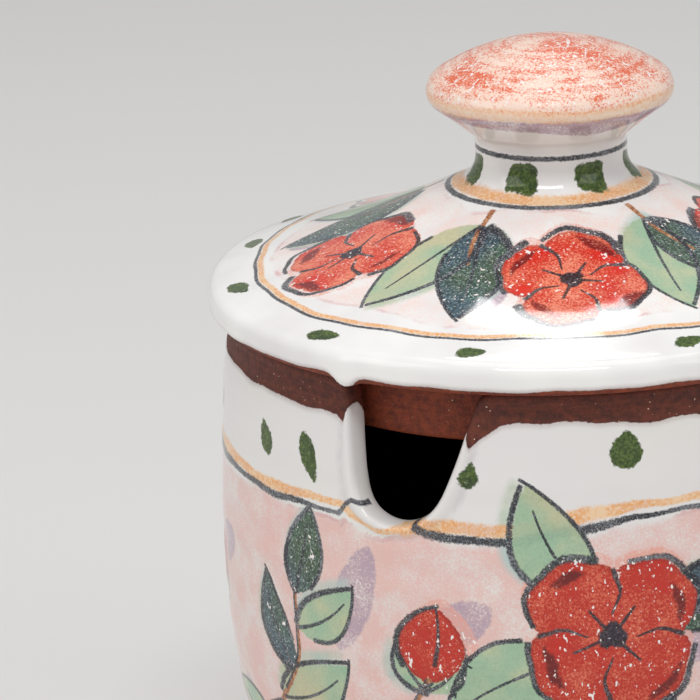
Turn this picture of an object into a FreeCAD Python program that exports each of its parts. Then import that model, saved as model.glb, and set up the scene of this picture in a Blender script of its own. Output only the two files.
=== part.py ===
"""Honey pot: a hand-thrown earthenware pot with a dipper notch in its rim, and its lid.

Two solids, each in its own node, in millimetres.  The pot stands on its foot at z = 0 about
the Z axis, and the notch is cut through the rim on the -Y side.  The lid only rests on the rim
and is held in place by the flange under it, which drops into the mouth with a loose fit.
"""
import FreeCAD
import Part
import math
import os

# ---- driving dimensions: the pot ----------------------------------------------------------
pot_height = 96.0            # foot to the rim that the lid rests on
foot_radius = 41.0           # flat bare ring that the pot stands on
foot_bevel = 1.2             # small bevel round the edge of the foot
foot_ring_width = 6.0        # how wide the standing ring is
foot_hollow = 1.2            # how far the base is turned in inside the ring
heel_radius = 46.4           # the wall just above the foot
heel_height = 11.0
waist_radius = 51.4          # the wall a third of the way up
waist_height = 29.0
belly_radius = 54.1          # widest ring of the wall
belly_height = 57.0
rim_radius = 51.8            # outside of the rim
wall = 4.0                   # thickness of the thrown wall
base_thickness = 6.5
lip_round = 1.2              # rounding of the rim's edges, which runs on round the notch

# ---- driving dimensions: the notch for the handle of the dipper ---------------------------
notch_depth = 22.2           # rim to the bottom of the notch
notch_bottom_radius = 8.6    # round bottom of the U
notch_flare = 12.0           # lean of each side, in degrees
notch_round = 1.5            # rounding of the edges of the cut

# ---- driving dimensions: the lid ----------------------------------------------------------
mouth_clearance = 1.2        # radial gap between the flange and the mouth
flange_depth = 9.8
flange_thickness = 3.6
flange_round = 1.2
lid_overhang = 3.2           # how far the lid stands out past the rim
lid_wall = 5.2               # thickness of the cone
edge_low_round = 1.6         # rounding under the lid's edge
edge_top_round = 2.2         # rounding over the lid's edge
edge_corner_height = 4.6     # where the edge and the slope of the brim would meet
brim_slope = 15.5            # degrees, out near the edge
cone_slope = 24.0            # degrees, in near the neck
cone_round = 150.0           # the long hollow curve that joins the two slopes
neck_foot_radius = 16.3      # painted ring where the cone turns up into the neck
neck_foot_height = 18.4
neck_radius = 11.95
neck_low_round = 4.5
neck_top_round = 2.0
knob_under_slope = 38.0      # degrees, under the knob
knob_under_round = 2.4
knob_radius = 19.4
knob_edge_height = 33.4      # height of the knob's widest ring
knob_brow_inset = 1.5        # where the knob's edge turns into its low dome
knob_dome_rise = 5.3         # how far the dome rises above that
knob_brow_rise = 2.8         # and how far that is above the widest ring
vault_radius = 14.0          # flat middle of the lid's hollow underside
vault_round = 12.0
haunch_round = 5.0

# ---- worked out from the sizes above ------------------------------------------------------
mouth_radius = rim_radius - wall
flange_radius = mouth_radius - mouth_clearance
lid_radius = rim_radius + lid_overhang
UP = FreeCAD.Vector(0, 0, 1)
CLOSE = 0.01                 # how near counts as touching


def at(radius, height):
    """A point of a profile, which is drawn in the XZ plane and turned about Z."""
    return FreeCAD.Vector(radius, 0, height)


def line(start, end):
    return Part.makeLine(start, end)


def arc_from(start, way, end):
    """The arc that leaves start in the direction way and ends at end, and its end direction."""
    chord = (end - start).normalize()
    side = way - chord * way.dot(chord)
    if side.Length < CLOSE / 100:
        return line(start, end), way
    angle = way.getAngle(chord)
    bulge = side.normalize() * ((end - start).Length / 2 * math.tan(angle / 2))
    edge = Part.Arc(start, (start + end) / 2 + bulge, end).toShape()
    return edge, (chord * (2 * way.dot(chord)) - way).normalize()


def rounded_path(corners):
    """Lines through the corners (radius, height, rounding), each corner turned with an arc."""
    edges = []
    here = at(*corners[0][:2])
    for index in range(1, len(corners) - 1):
        corner = at(*corners[index][:2])
        rounding = corners[index][2]
        way_in = (corner - at(*corners[index - 1][:2])).normalize()
        way_out = (at(*corners[index + 1][:2]) - corner).normalize()
        reach = rounding * math.tan(way_in.getAngle(way_out) / 2)
        start, end = corner - way_in * reach, corner + way_out * reach
        if (start - here).Length > CLOSE:
            edges.append(line(here, start))
        if reach > CLOSE:
            edges.append(arc_from(start, way_in, end)[0])
        here = end
    last = at(*corners[-1][:2])
    if (last - here).Length > CLOSE:
        edges.append(line(here, last))
    return edges


def turned(edges):
    """The solid that a closed profile makes when it is turned about the Z axis."""
    wire = Part.Wire(Part.__sortEdges__(edges))
    return Part.makeSolid(Part.Face(wire).revolve(FreeCAD.Vector(0, 0, 0), UP, 360))


def wall_arcs(points, way, inset):
    """A chain of smooth arcs through the wall's points, set in towards the axis by the inset."""
    edges = []
    inward = FreeCAD.Vector(way.z, 0, -way.x)
    here = points[0] + inward * inset
    for start, end in zip(points, points[1:]):
        next_way = arc_from(start, way, end)[1]
        inward = FreeCAD.Vector(next_way.z, 0, -next_way.x)
        there = end + inward * inset
        edges.append(arc_from(here, way, there)[0])
        here, way = there, next_way
    return edges, here, way


def make_pot_body():
    """The thrown pot: foot, swelling wall and flat rim, as one turned solid."""
    belly = at(belly_radius, belly_height)
    rim = at(rim_radius, pot_height)
    lower = [belly, at(waist_radius, waist_height), at(heel_radius, heel_height)]
    foot_edge = at(foot_radius + foot_bevel, foot_bevel)
    down = FreeCAD.Vector(0, 0, -1)

    outside = wall_arcs(lower + [foot_edge], down, 0)[0] + [arc_from(belly, UP, rim)[0]]
    inside, corner, way = wall_arcs(lower, down, wall)
    mouth = at(mouth_radius, pot_height)
    belly_inside = at(belly_radius - wall, belly_height)
    corner_round = (corner.z - base_thickness) / (1 + way.x)
    floor_edge = at(corner.x + corner_round * way.z, base_thickness)

    ring_inside = foot_radius - foot_ring_width
    profile = outside + inside + [
        line(foot_edge, at(foot_radius, 0)),
        line(at(foot_radius, 0), at(ring_inside, 0)),
        line(at(ring_inside, 0), at(ring_inside - foot_hollow, foot_hollow)),
        line(at(ring_inside - foot_hollow, foot_hollow), at(0, foot_hollow)),
        line(at(0, foot_hollow), at(0, base_thickness)),
        line(at(0, base_thickness), floor_edge),
        arc_from(corner, way, floor_edge)[0],
        arc_from(belly_inside, UP, mouth)[0],
        line(mouth, rim),
    ]
    return turned(profile)


def make_notch_cutter():
    """The U-shaped bar that cuts the notch: a round bottom and two sides that lean apart."""
    centre = pot_height - notch_depth + notch_bottom_radius
    flare = math.radians(notch_flare)
    side_x = notch_bottom_radius * math.cos(flare)
    side_z = centre - notch_bottom_radius * math.sin(flare)
    above = pot_height + wall
    top_x = side_x + (above - side_z) * math.tan(flare)
    bottom = FreeCAD.Vector(0, 0, centre - notch_bottom_radius)
    left, right = FreeCAD.Vector(-side_x, 0, side_z), FreeCAD.Vector(side_x, 0, side_z)
    left_top, right_top = FreeCAD.Vector(-top_x, 0, above), FreeCAD.Vector(top_x, 0, above)
    outline = Part.Wire([
        Part.Arc(left, bottom, right).toShape(),
        line(right, right_top),
        line(right_top, left_top),
        line(left_top, left),
    ])
    reach = FreeCAD.Vector(0, -(belly_radius + wall), 0)
    return Part.Face(outline).extrude(reach)


def on_the_notch(edge):
    """True for an edge of the cut that runs along the outside or the inside of the wall."""
    box = edge.BoundBox
    reach = notch_bottom_radius + notch_depth * math.tan(math.radians(notch_flare)) + wall
    if box.YMax > 0 or max(abs(box.XMin), abs(box.XMax)) > reach:
        return False
    low = pot_height - notch_depth
    return box.ZLength > notch_bottom_radius / 2 and box.ZMin > low - wall


def on_the_lip(edge):
    """True for an edge of the flat rim along the outside of the wall."""
    box = edge.BoundBox
    level = box.ZLength < CLOSE and abs(box.ZMin - pot_height) < CLOSE
    return level and all(abs(math.hypot(v.X, v.Y) - rim_radius) < CLOSE for v in edge.Vertexes)


def make_pot():
    """The pot with its notch cut and every edge of the rim wiped round.

    Where the wall leans in towards the rim, there is less room for the rim's rounding beside
    the notch's.
    """
    pot = make_pot_body().cut(make_notch_cutter())
    pot = pot.makeFillet(notch_round, [e for e in pot.Edges if on_the_notch(e)])
    lean = 2 * math.atan2(belly_radius - rim_radius, pot_height - belly_height)
    room = notch_round * (1 - math.sin(lean))
    pot = pot.makeFillet(min(lip_round, room), [e for e in pot.Edges if on_the_lip(e)])
    return pot.Solids[0]


def make_lid():
    """The lid, thrown in one piece: rounded edge, low cone, neck, knob and flange."""
    seat = pot_height
    low = seat - flange_depth
    brim = math.tan(math.radians(brim_slope))
    cone = math.tan(math.radians(cone_slope))
    under = math.tan(math.radians(knob_under_slope))
    bend_radius = (neck_foot_height - edge_corner_height + cone * neck_foot_radius
                   - brim * lid_radius) / (cone - brim)
    bend_height = edge_corner_height + brim * (lid_radius - bend_radius)
    neck_low = neck_foot_height + cone * (neck_foot_radius - neck_radius)
    under_turn = math.radians(90 - knob_under_slope) / 2
    knob_corner = knob_edge_height - knob_under_round * math.tan(under_turn)
    neck_top = knob_corner - under * (knob_radius - neck_radius)

    brow = at(knob_radius - knob_brow_inset, seat + knob_edge_height + knob_brow_rise)
    crown = at(0, brow.z + knob_dome_rise)
    dome, dome_way = arc_from(crown, FreeCAD.Vector(1, 0, 0), brow)
    edge_corner = brow + dome_way * (knob_brow_inset / dome_way.x)
    edge_turn = dome_way.getAngle(FreeCAD.Vector(0, 0, -1))
    edge_round = (edge_corner - brow).Length / math.tan(edge_turn / 2)

    outside = rounded_path([
        (flange_radius, seat, 0),
        (lid_radius, seat, edge_low_round),
        (lid_radius, seat + edge_corner_height, edge_top_round),
        (bend_radius, seat + bend_height, cone_round),
        (neck_radius, seat + neck_low, neck_low_round),
        (neck_radius, seat + neck_top, neck_top_round),
        (knob_radius, seat + knob_corner, knob_under_round),
        (knob_radius, edge_corner.z, edge_round),
        (brow.x, brow.z, 0),
    ])

    inner_radius = flange_radius - flange_thickness
    haunch = seat + edge_corner_height + brim * (lid_radius - inner_radius) - lid_wall
    ceiling = seat + neck_foot_height - lid_wall
    underside = rounded_path([
        (0, ceiling, 0),
        (vault_radius, ceiling, vault_round),
        (inner_radius, haunch, haunch_round),
        (inner_radius, low, flange_round),
        (flange_radius, low, flange_round),
        (flange_radius, seat, 0),
    ])
    return turned(outside + [dome, line(crown, at(0, ceiling))] + underside)


os.makedirs("parts", exist_ok=True)
for name, solid in (("pot", make_pot()), ("lid", make_lid())):
    solid.exportStep("parts/" + name + ".step")
    box = solid.BoundBox
    print(name, "volume", round(solid.Volume), "mm3, z", round(box.ZMin, 2), "to",
          round(box.ZMax, 2), "valid", solid.isValid())
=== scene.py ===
import math
import bpy
import numpy as np
from mathutils import Matrix, Vector


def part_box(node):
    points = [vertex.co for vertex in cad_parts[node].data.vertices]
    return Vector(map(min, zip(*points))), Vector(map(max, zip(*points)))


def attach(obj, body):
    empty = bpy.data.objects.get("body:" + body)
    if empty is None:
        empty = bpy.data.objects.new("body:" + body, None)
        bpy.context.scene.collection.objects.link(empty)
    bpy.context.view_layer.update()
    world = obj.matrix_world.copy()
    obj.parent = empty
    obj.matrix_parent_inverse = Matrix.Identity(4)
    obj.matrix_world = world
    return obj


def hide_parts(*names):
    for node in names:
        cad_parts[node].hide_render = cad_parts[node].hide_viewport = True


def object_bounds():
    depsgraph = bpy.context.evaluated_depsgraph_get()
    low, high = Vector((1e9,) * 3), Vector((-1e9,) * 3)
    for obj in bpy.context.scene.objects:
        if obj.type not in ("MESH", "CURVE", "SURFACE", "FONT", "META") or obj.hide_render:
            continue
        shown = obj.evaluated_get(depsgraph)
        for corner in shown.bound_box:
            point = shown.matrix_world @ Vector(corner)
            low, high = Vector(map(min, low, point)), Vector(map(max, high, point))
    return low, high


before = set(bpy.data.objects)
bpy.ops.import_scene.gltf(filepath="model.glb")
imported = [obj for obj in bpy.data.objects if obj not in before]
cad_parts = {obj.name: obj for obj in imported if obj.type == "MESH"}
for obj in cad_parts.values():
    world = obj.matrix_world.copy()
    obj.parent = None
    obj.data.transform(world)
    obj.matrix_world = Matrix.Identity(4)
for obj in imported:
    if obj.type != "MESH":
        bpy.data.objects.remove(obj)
cad_low, cad_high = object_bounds()

# ---- studio ----
# A plain pale floor under an even sky.  A small softbox hangs above and behind the pot and draws
# the bright strip on the lid, another above the front, and three large soft panels fill in.
MM = 0.001
FLOOR_REACH = 4.0
SKY_LEVEL = 0.46
BACKGROUND_LEVEL = 0.84
PANELS = {
    # name: (azimuth, elevation, distance, width, height, power)
    "strip": (206.5, 53.0, 0.95, 0.25, 0.06, 0.45),
    "front_box": (24, 58, 1.1, 0.5, 0.2, 3.4),
    "overhead": (200, 82, 1.3, 0.9, 0.9, 3.1),
    "left_panel": (-40, 34, 1.3, 0.7, 0.8, 2.4),
    "right_panel": (84, 30, 1.4, 0.6, 0.8, 1.8),
}


def linear(red, green, blue):
    """A colour given as on a screen, 0 to 255, as the linear colour that shaders take."""
    def one(part):
        part /= 255
        return part / 12.92 if part <= 0.04045 else ((part + 0.055) / 1.055) ** 2.4
    return one(red), one(green), one(blue), 1.0


class Number:
    """A socket that carries a number or a vector, so that shader maths reads as arithmetic."""

    def __init__(self, finish, socket):
        self.finish, self.socket = finish, socket

    def math(self, operation, first, second=0.0):
        return self.finish.node("ShaderNodeMath", {"operation": operation},
                                {0: first, 1: second})

    def __add__(self, other):
        return self.math("ADD", self, other)

    def __sub__(self, other):
        return self.math("SUBTRACT", self, other)

    def __rsub__(self, other):
        return self.math("SUBTRACT", other, self)

    def __mul__(self, other):
        return self.math("MULTIPLY", self, other)

    __radd__ = __add__
    __rmul__ = __mul__

    def __abs__(self):
        return self.math("ABSOLUTE", self)

    def most(self, other):
        return self.math("MAXIMUM", self, other)

    def ramp(self, low, high):
        """0 at low, 1 at high, with a smooth step between."""
        settings = {"interpolation_type": "SMOOTHSTEP"}
        sockets = {"Value": self, "From Min": low, "From Max": high}
        return self.finish.node("ShaderNodeMapRange", settings, sockets)


class Finish:
    """A material under construction."""

    def __init__(self, name):
        self.material = bpy.data.materials.new(name)
        self.material.use_nodes = True
        self.tree = self.material.node_tree
        self.tree.nodes.clear()
        self.place = self.node("ShaderNodeTexCoord", output="Object")

    def node(self, kind, settings=None, sockets=None, output=0):
        """One node: its settings first, then the values or links of its sockets."""
        made = self.tree.nodes.new(kind)
        for name, value in (settings or {}).items():
            setattr(made, name, value)
        for name, value in (sockets or {}).items():
            if isinstance(value, Number):
                self.tree.links.new(value.socket, made.inputs[name])
            else:
                made.inputs[name].default_value = value
        return Number(self, made.outputs[output])

    def mix(self, share, first, second):
        """A colour between two others, each a socket or a colour given as on a screen."""
        first, second = (colour if isinstance(colour, Number) else linear(*colour)
                         for colour in (first, second))
        return self.node("ShaderNodeMix", {"data_type": "RGBA"},
                         {0: share, 6: first, 7: second}, 2)

    def tinted(self, colour, amount, cover, tint):
        """A colour with a tint over it where the amount is high, at most as thick as the cover."""
        return self.mix(amount.ramp(0, 1) * cover, colour, tint)

    def stretched(self, x, y, z):
        """The place on the object, drawn out or pressed together along its axes."""
        return self.node("ShaderNodeVectorMath", {"operation": "MULTIPLY"},
                         {0: self.place, 1: (x, y, z)})

    def noise(self, size, detail=2.0, roughness=0.5, place=None, shift=0.0):
        """Cloudy noise around 0, with clouds of about the size, in mm."""
        settings = {"noise_dimensions": "4D"}
        sockets = {"Vector": place or self.place, "W": shift, "Scale": 1000 / size,
                   "Detail": detail, "Roughness": roughness}
        return self.node("ShaderNodeTexNoise", settings, sockets) - 0.5

    def painted(self, name):
        """How far inside a layer of paint the point lies, in mm, as the mesh carries it."""
        return self.node("ShaderNodeAttribute", {"attribute_name": name}, output="Fac")

    def close(self, surface):
        output = self.tree.nodes.new("ShaderNodeOutputMaterial")
        self.tree.links.new(surface.socket, output.inputs["Surface"])
        return self.material


def editing(on):
    bpy.ops.object.mode_set(mode="EDIT" if on else "OBJECT")


bpy.ops.object.select_all(action="DESELECT")
bpy.ops.mesh.primitive_plane_add(size=2 * FLOOR_REACH)
floor = bpy.context.object
floor.name = "studio_floor"
paper = Finish("studio_paper")
floor.data.materials.append(paper.close(paper.node("ShaderNodeBsdfPrincipled", {}, {
    "Base Color": linear(228, 227, 225), "Roughness": 0.9, "Specular IOR Level": 0.1})))

aim = Vector((0, 0, (cad_high[2] + cad_low[2]) / 2))
for name, (azimuth, elevation, distance, width, height, power) in PANELS.items():
    lamp = bpy.data.lights.new(name, "AREA")
    lamp.shape, lamp.size, lamp.size_y, lamp.energy = "RECTANGLE", width, height, power
    panel = bpy.data.objects.new(name, lamp)
    bpy.context.scene.collection.objects.link(panel)
    turn, rise = math.radians(azimuth), math.radians(elevation)
    away = Vector((math.sin(turn) * math.cos(rise), -math.cos(turn) * math.cos(rise),
                   math.sin(rise)))
    panel.location = aim + away * distance
    panel.rotation_euler = away.to_track_quat("Z", "Y").to_euler()

world = bpy.data.worlds.new("even_sky")
world.use_nodes = True
sky, wires = world.node_tree.nodes["Background"], world.node_tree.links
rays = world.node_tree.nodes.new("ShaderNodeLightPath")
seen = world.node_tree.nodes.new("ShaderNodeMath")
seen.operation = "MAXIMUM"
wires.new(rays.outputs["Is Camera Ray"], seen.inputs[0])
wires.new(rays.outputs["Is Transmission Ray"], seen.inputs[1])
level = world.node_tree.nodes.new("ShaderNodeMapRange")
level.inputs["To Min"].default_value = SKY_LEVEL
level.inputs["To Max"].default_value = BACKGROUND_LEVEL
wires.new(seen.outputs[0], level.inputs["Value"])
wires.new(level.outputs[0], sky.inputs["Strength"])
sky.inputs["Color"].default_value = (1.0, 1.0, 1.0, 1.0)
bpy.context.scene.world = world
bpy.context.scene.view_settings.view_transform = "Standard"

# ---- camera ----
# A long lens from a little above, close in on the notch, so that the foot and the right side of
# the pot lie outside the picture.
CAMERA_AZIMUTH = 26.0
CAMERA_DISTANCE = 0.600
CAMERA_HEIGHT = 0.27205
CAMERA_TURN = 3.124
CAMERA_DIP = 17.096
CAMERA_ROLL = -2.168
LENS = 202.55

camera = bpy.data.objects.new("camera", bpy.data.cameras.new("camera"))
bpy.context.scene.collection.objects.link(camera)
camera.data.sensor_width, camera.data.lens = 36.0, LENS
camera.data.clip_start, camera.data.clip_end = 0.01, 20.0
azimuth = math.radians(CAMERA_AZIMUTH)
camera.location = (CAMERA_DISTANCE * math.sin(azimuth), -CAMERA_DISTANCE * math.cos(azimuth),
                   CAMERA_HEIGHT)
turning = (Matrix.Rotation(math.radians(CAMERA_AZIMUTH + CAMERA_TURN), 3, "Z")
           @ Matrix.Rotation(math.radians(90 - CAMERA_DIP), 3, "X")
           @ Matrix.Rotation(math.radians(CAMERA_ROLL), 3, "Z"))
camera.rotation_euler = turning.to_euler()
bpy.context.scene.camera = camera

# ---- the pot ----
# Thrown in red earthenware with a 4 mm wall, the notch for the dipper cut through its rim while
# the clay was soft and wiped round.  The outside and the roll round the notch are dipped in
# white tin glaze and painted; the seat of the lid, the foot and the base stay bare.
pot_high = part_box("pot")[1]
RIM_HEIGHT = round(pot_high[2] / MM, 3)
RIM_RADIUS = 51.8
WALL = 4.0
LIP_SUPPORT = 1.4
POT_COLUMNS = 60
POT_SMOOTHING = 3
ROW = 6.5  # from one row of the staves to the next
LOWEST_ROW = 4.5
BASE_ROWS = [(4.0, 1.2), (12.0, 1.2), (24.0, 1.2), (33.4, 1.2), (35.2, 0.0), (41.2, 0.0),
             (42.4, 1.4)]  # radius and height, from the middle of the base to the foot
BELLY = (54.1, 57.0)
WAIST = (51.4, 29.0)
HEEL = (46.4, 11.0)
FOOT = (42.2, 1.2)
NOTCH_DEPTH = 22.2
NOTCH_BOTTOM_RADIUS = 8.6
NOTCH_FLARE = math.radians(12.0)
NOTCH_CENTRE = RIM_HEIGHT - NOTCH_DEPTH + NOTCH_BOTTOM_RADIUS
ROLL_SWELL = 0.9  # how far the roll of clay and glaze swells into the notch
NOTCH_LEANING = ((76, 1.3), (92, -0.9))  # heights, and how far it lies to the left there


def arc_end(start, way, end):
    """The direction in which an arc arrives that leaves start along way and ends at end."""
    chord = (end - start) / np.linalg.norm(end - start)
    return 2 * chord * (way @ chord) - way


def arc_points(start, way, end, count):
    """Points along the arc that leaves start along way and ends at end, start left out."""
    chord = end - start
    length = np.linalg.norm(chord)
    chord = chord / length
    side = way - chord * (way @ chord)
    if np.linalg.norm(side) < 1e-9:
        return [start + (end - start) * share for share in np.linspace(0, 1, count + 1)[1:]]
    side = side / np.linalg.norm(side)
    half = math.acos(np.clip(way @ chord, -1, 1))
    radius = length / 2 / math.sin(half)
    centre = (start + end) / 2 - side * radius * math.cos(half)
    angles = np.linspace(-half, half, count + 1)[1:]
    return [centre + radius * (side * math.cos(a) + chord * math.sin(a)) for a in angles]


def wall_profile():
    """The outside of the wall from the foot to the rim, as radius over height."""
    points = [np.array(p) for p in (BELLY, WAIST, HEEL, FOOT)]
    way, lower = np.array((0.0, -1.0)), [points[0]]
    for start, end in zip(points, points[1:]):
        lower += arc_points(start, way, end, 24)
        way = arc_end(start, way, end)
    upper = arc_points(points[0], np.array((0.0, 1.0)), np.array((RIM_RADIUS, RIM_HEIGHT)), 40)
    return np.array(lower[::-1] + upper)


profile = wall_profile()


def wall_radius(height):
    return np.interp(height, profile[:, 1], profile[:, 0])


def notch_lean(z):
    return np.interp(z, *zip(*NOTCH_LEANING))


def notch_distance(x, z):
    """How far a point of the rolled-out wall lies from the cut edge of the notch, in mm."""
    x = np.abs(x + notch_lean(z))
    tilt = np.array((math.sin(NOTCH_FLARE), math.cos(NOTCH_FLARE)))
    along = x * tilt[0] + (z - NOTCH_CENTRE) * tilt[1]
    side = x * tilt[1] - (z - NOTCH_CENTRE) * tilt[0] - NOTCH_BOTTOM_RADIUS
    bottom = np.hypot(x, z - NOTCH_CENTRE) - NOTCH_BOTTOM_RADIUS
    return np.where(along > 0, side, bottom)


# The wall is a ring of sixty staves, drawn up row by row from the middle of the base.
stave_heights = list(np.arange(RIM_HEIGHT, LOWEST_ROW, -ROW))[::-1]
rows = BASE_ROWS + [(float(wall_radius(height)), float(height)) for height in stave_heights]
swell = 3 / (2 + math.cos(2 * math.pi / POT_COLUMNS))

bpy.ops.object.select_all(action="DESELECT")
here = rows[0]
bpy.ops.mesh.primitive_circle_add(vertices=POT_COLUMNS, radius=here[0] * MM,
                                  fill_type="TRIFAN", location=(0, 0, 0))
pot = bpy.context.object
pot.name = "honey_pot"
editing(True)
bpy.ops.mesh.select_all(action="SELECT")
bpy.ops.transform.translate(value=(0, 0, here[1] * MM))
bpy.ops.mesh.region_to_loop()
for radius, height in rows[1:]:
    bpy.ops.mesh.extrude_region_move(
        TRANSFORM_OT_translate={"value": (0, 0, (height - here[1]) * MM)})
    scale = radius / here[0]
    bpy.ops.transform.resize(value=(scale, scale, 1), center_override=(0, 0, height * MM))
    here = (radius, height)
editing(False)

# The notch is cut four staves wide and three rows deep, and its edge is led into a U.  The
# points beside it and below it are given as (how far from its middle, how far dropped).
NOTCH_STAVES = 2  # to either side
NOTCH_ROWS = 3
BOTTOM_LEANS = (0, 26, 52)  # degrees from straight down, along the bottom of the U
BOTTOM_REACH = 0.35  # how far beyond the U those points stand, as smoothing draws them in
BESIDE_NOTCH = [(15.6, 0), (15.3, 0), (14.9, 0.2), (13.2, 1.2), (14.6, 0.6)]
BELOW_NOTCH = [(0, 0.6), (4.4, 0.5), (8.9, 0.4)]
mesh = pot.data
stave = 360 / POT_COLUMNS
row_below = stave_heights[-1 - NOTCH_ROWS]
for polygon in mesh.polygons:
    centre = polygon.center / MM
    turn = math.degrees(math.atan2(centre.x, -centre.y))
    polygon.select = abs(turn) < NOTCH_STAVES * stave and centre.z > row_below
editing(True)
bpy.ops.mesh.select_mode(type="FACE")
bpy.ops.mesh.delete(type="FACE")
editing(False)


def rolled_out(co):
    """Points as a turn from the middle of the notch, in radians, and height and radius in mm."""
    turn = np.arctan2(co[:, 0], -co[:, 1])
    return turn, co[:, 2] / MM, np.hypot(co[:, 0], co[:, 1]) / MM


def coordinates(mesh, kind="co"):
    values = np.empty(len(mesh.vertices) * 3)
    mesh.vertices.foreach_get(kind, values)
    return values.reshape(-1, 3)


def put(mesh, co):
    mesh.vertices.foreach_set("co", co.ravel())
    mesh.update()


co = coordinates(mesh)
turn, height, radius = rolled_out(co)
for index in range(len(co)):
    step = round(math.degrees(turn[index]) / stave)
    row = round((RIM_HEIGHT - height[index]) / ROW)
    here_z = RIM_HEIGHT - ROW * row
    if radius[index] < WAIST[0]:
        continue
    if abs(step) == NOTCH_STAVES and row < NOTCH_ROWS:
        half = (NOTCH_BOTTOM_RADIUS - ROLL_SWELL) / math.cos(NOTCH_FLARE)
        here_x = half + (here_z - NOTCH_CENTRE) * math.tan(NOTCH_FLARE)
    elif abs(step) <= NOTCH_STAVES and row == NOTCH_ROWS:
        lean = math.radians(BOTTOM_LEANS[abs(step)])
        reach = NOTCH_BOTTOM_RADIUS - ROLL_SWELL + BOTTOM_REACH
        here_x, here_z = reach * math.sin(lean), NOTCH_CENTRE - reach * math.cos(lean)
    elif abs(step) == NOTCH_STAVES + 1 and row < len(BESIDE_NOTCH):
        here_x, drop = BESIDE_NOTCH[row]
        here_z -= drop
    elif abs(step) <= NOTCH_STAVES and row == NOTCH_ROWS + 1:
        here_x, drop = BELOW_NOTCH[abs(step)]
        here_z -= drop
    else:
        continue
    ring = float(wall_radius(here_z))
    here_x = math.copysign(here_x, turn[index] if step else 1)
    angle = (here_x - notch_lean(here_z)) / RIM_RADIUS
    co[index] = (ring * math.sin(angle) * MM, -ring * math.cos(angle) * MM, here_z * MM)
co[:, :2] *= swell
put(mesh, co)

# The wall gets its thickness, a tight row along the rim and the notch keeps that edge crisp,
# and the surface is smoothed until the staves are gone.
bpy.ops.object.select_all(action="DESELECT")
pot.select_set(True)
bpy.context.view_layer.objects.active = pot
editing(True)
bpy.ops.mesh.select_all(action="SELECT")
bpy.ops.mesh.normals_make_consistent(inside=False)
bpy.ops.mesh.inset(thickness=LIP_SUPPORT * MM, use_boundary=True, use_even_offset=True)
editing(False)
solidify = pot.modifiers.new("wall", "SOLIDIFY")
solidify.thickness, solidify.offset, solidify.use_even_offset = WALL * MM, -1, True
bpy.ops.object.modifier_apply(modifier="wall")
smooth = pot.modifiers.new("smooth", "SUBSURF")
smooth.levels = smooth.render_levels = POT_SMOOTHING
bpy.ops.object.modifier_apply(modifier="smooth")

# The inside and the flat of the base are out of sight, so they are kept light.
FACES_KEPT = 0.12
EDGE_LEFT = 4.0  # how far from the rim and the notch the faces stay as they are
BASE_FLAT = (32, 1.5)  # radius and height
co = coordinates(pot.data)
turn, height, radius = rolled_out(co)
inner = (wall_radius(height) - radius > WALL * 0.8) & (height > 3.0)
inner &= height < RIM_HEIGHT - EDGE_LEFT
inner &= notch_distance(turn * RIM_RADIUS, height) > EDGE_LEFT
inner |= (radius < BASE_FLAT[0]) & (height < BASE_FLAT[1])
editing(True)
bpy.ops.mesh.select_mode(type="VERT")
bpy.ops.mesh.select_all(action="DESELECT")
editing(False)
pot.data.vertices.foreach_set("select", inner)
editing(True)
bpy.ops.mesh.decimate(ratio=FACES_KEPT)
editing(False)
bpy.ops.object.shade_smooth()


def smooth_step(value, low, high):
    share = np.clip((value - low) / (high - low), 0, 1)
    return share * share * (3 - 2 * share)


def waves(turn, *parts):
    """A gentle unevenness round the pot: (height, how many waves, where the first is)."""
    return sum(size * np.sin(count * turn + shift) for size, count, shift in parts)


def through(turn, knots):
    """A hand-drawn line round the pot through a few knots of (degrees, height)."""
    degrees, heights = zip(*knots)
    return np.interp(np.degrees(turn), degrees, heights, period=360)


# The clay is drawn in under the glaze by the glaze's thickness, the wall is trued to its curve,
# and the glaze swells into a soft roll along the notch.
GLAZE_THICKNESS = 0.25
GLAZE_TOP = [
    (-180, 90.4), (-150, 90.0), (-110, 90.8), (-70, 90.3), (-45, 90.2), (-34, 90.0), (-22, 89.9),
    (-17, 89.8), (-13, 89.6), (-11.5, 88.8), (-10.8, 91.0), (-10, 92.1), (-7, 92.4), (10.6, 91.6),
    (11.5, 87.2), (13.6, 88.9), (17, 90.9), (21, 91.4), (27, 91.7), (33, 91.1), (41, 90.9),
    (48, 91.0), (60, 90.7), (95, 90.1), (140, 90.6)]
GLAZE_INSIDE = 2.2  # how much lower the glaze stops on the cut face and inside
BARE_FOOT = 3.4
BARE_BASE = 1.3
ROLL_HEIGHT = 0.5
ROLL_PLACE = -0.1  # the roll and the crease behind it, from the cut edge
ROLL_WIDTH = 1.05
CREASE_PLACE = 1.75
CREASE_WIDTH = 0.55
CREASE_DEPTH = 0.22
co = coordinates(pot.data)
turn, height, radius = rolled_out(co)
around = turn * RIM_RADIUS
cut = notch_distance(around, height)
depth = wall_radius(height) - radius
outside = smooth_step(height, 3.0, 6.0) * (1 - smooth_step(height, 93.0, 94.5))
outside *= 1 - smooth_step(depth, 0.9, 1.3)
glaze = through(turn, GLAZE_TOP) + waves(turn, (0.16, 23, 1.0), (0.1, 41, 0.3)) - height
glaze -= GLAZE_INSIDE * smooth_step(depth, 1.6, WALL) * (height > 80)
glaze = np.minimum(glaze, height - BARE_FOOT - waves(turn, (0.5, 3, 0.4), (0.25, 11, 2.0)))
glaze[height < BARE_BASE] = -5
# The inside wall and floor, which the material colours near black as painted shade.
inside = (height > 5) & (height < 88) & (depth > WALL - 0.5)
true = radius + depth * outside * smooth_step(cut, 1.5, 5.0)
true += outside * (0.05 * np.sin(height * 0.62 + turn) + 0.04 * np.sin(height * 1.1 - turn))
full = smooth_step(glaze, -0.3, 1.2)
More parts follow.
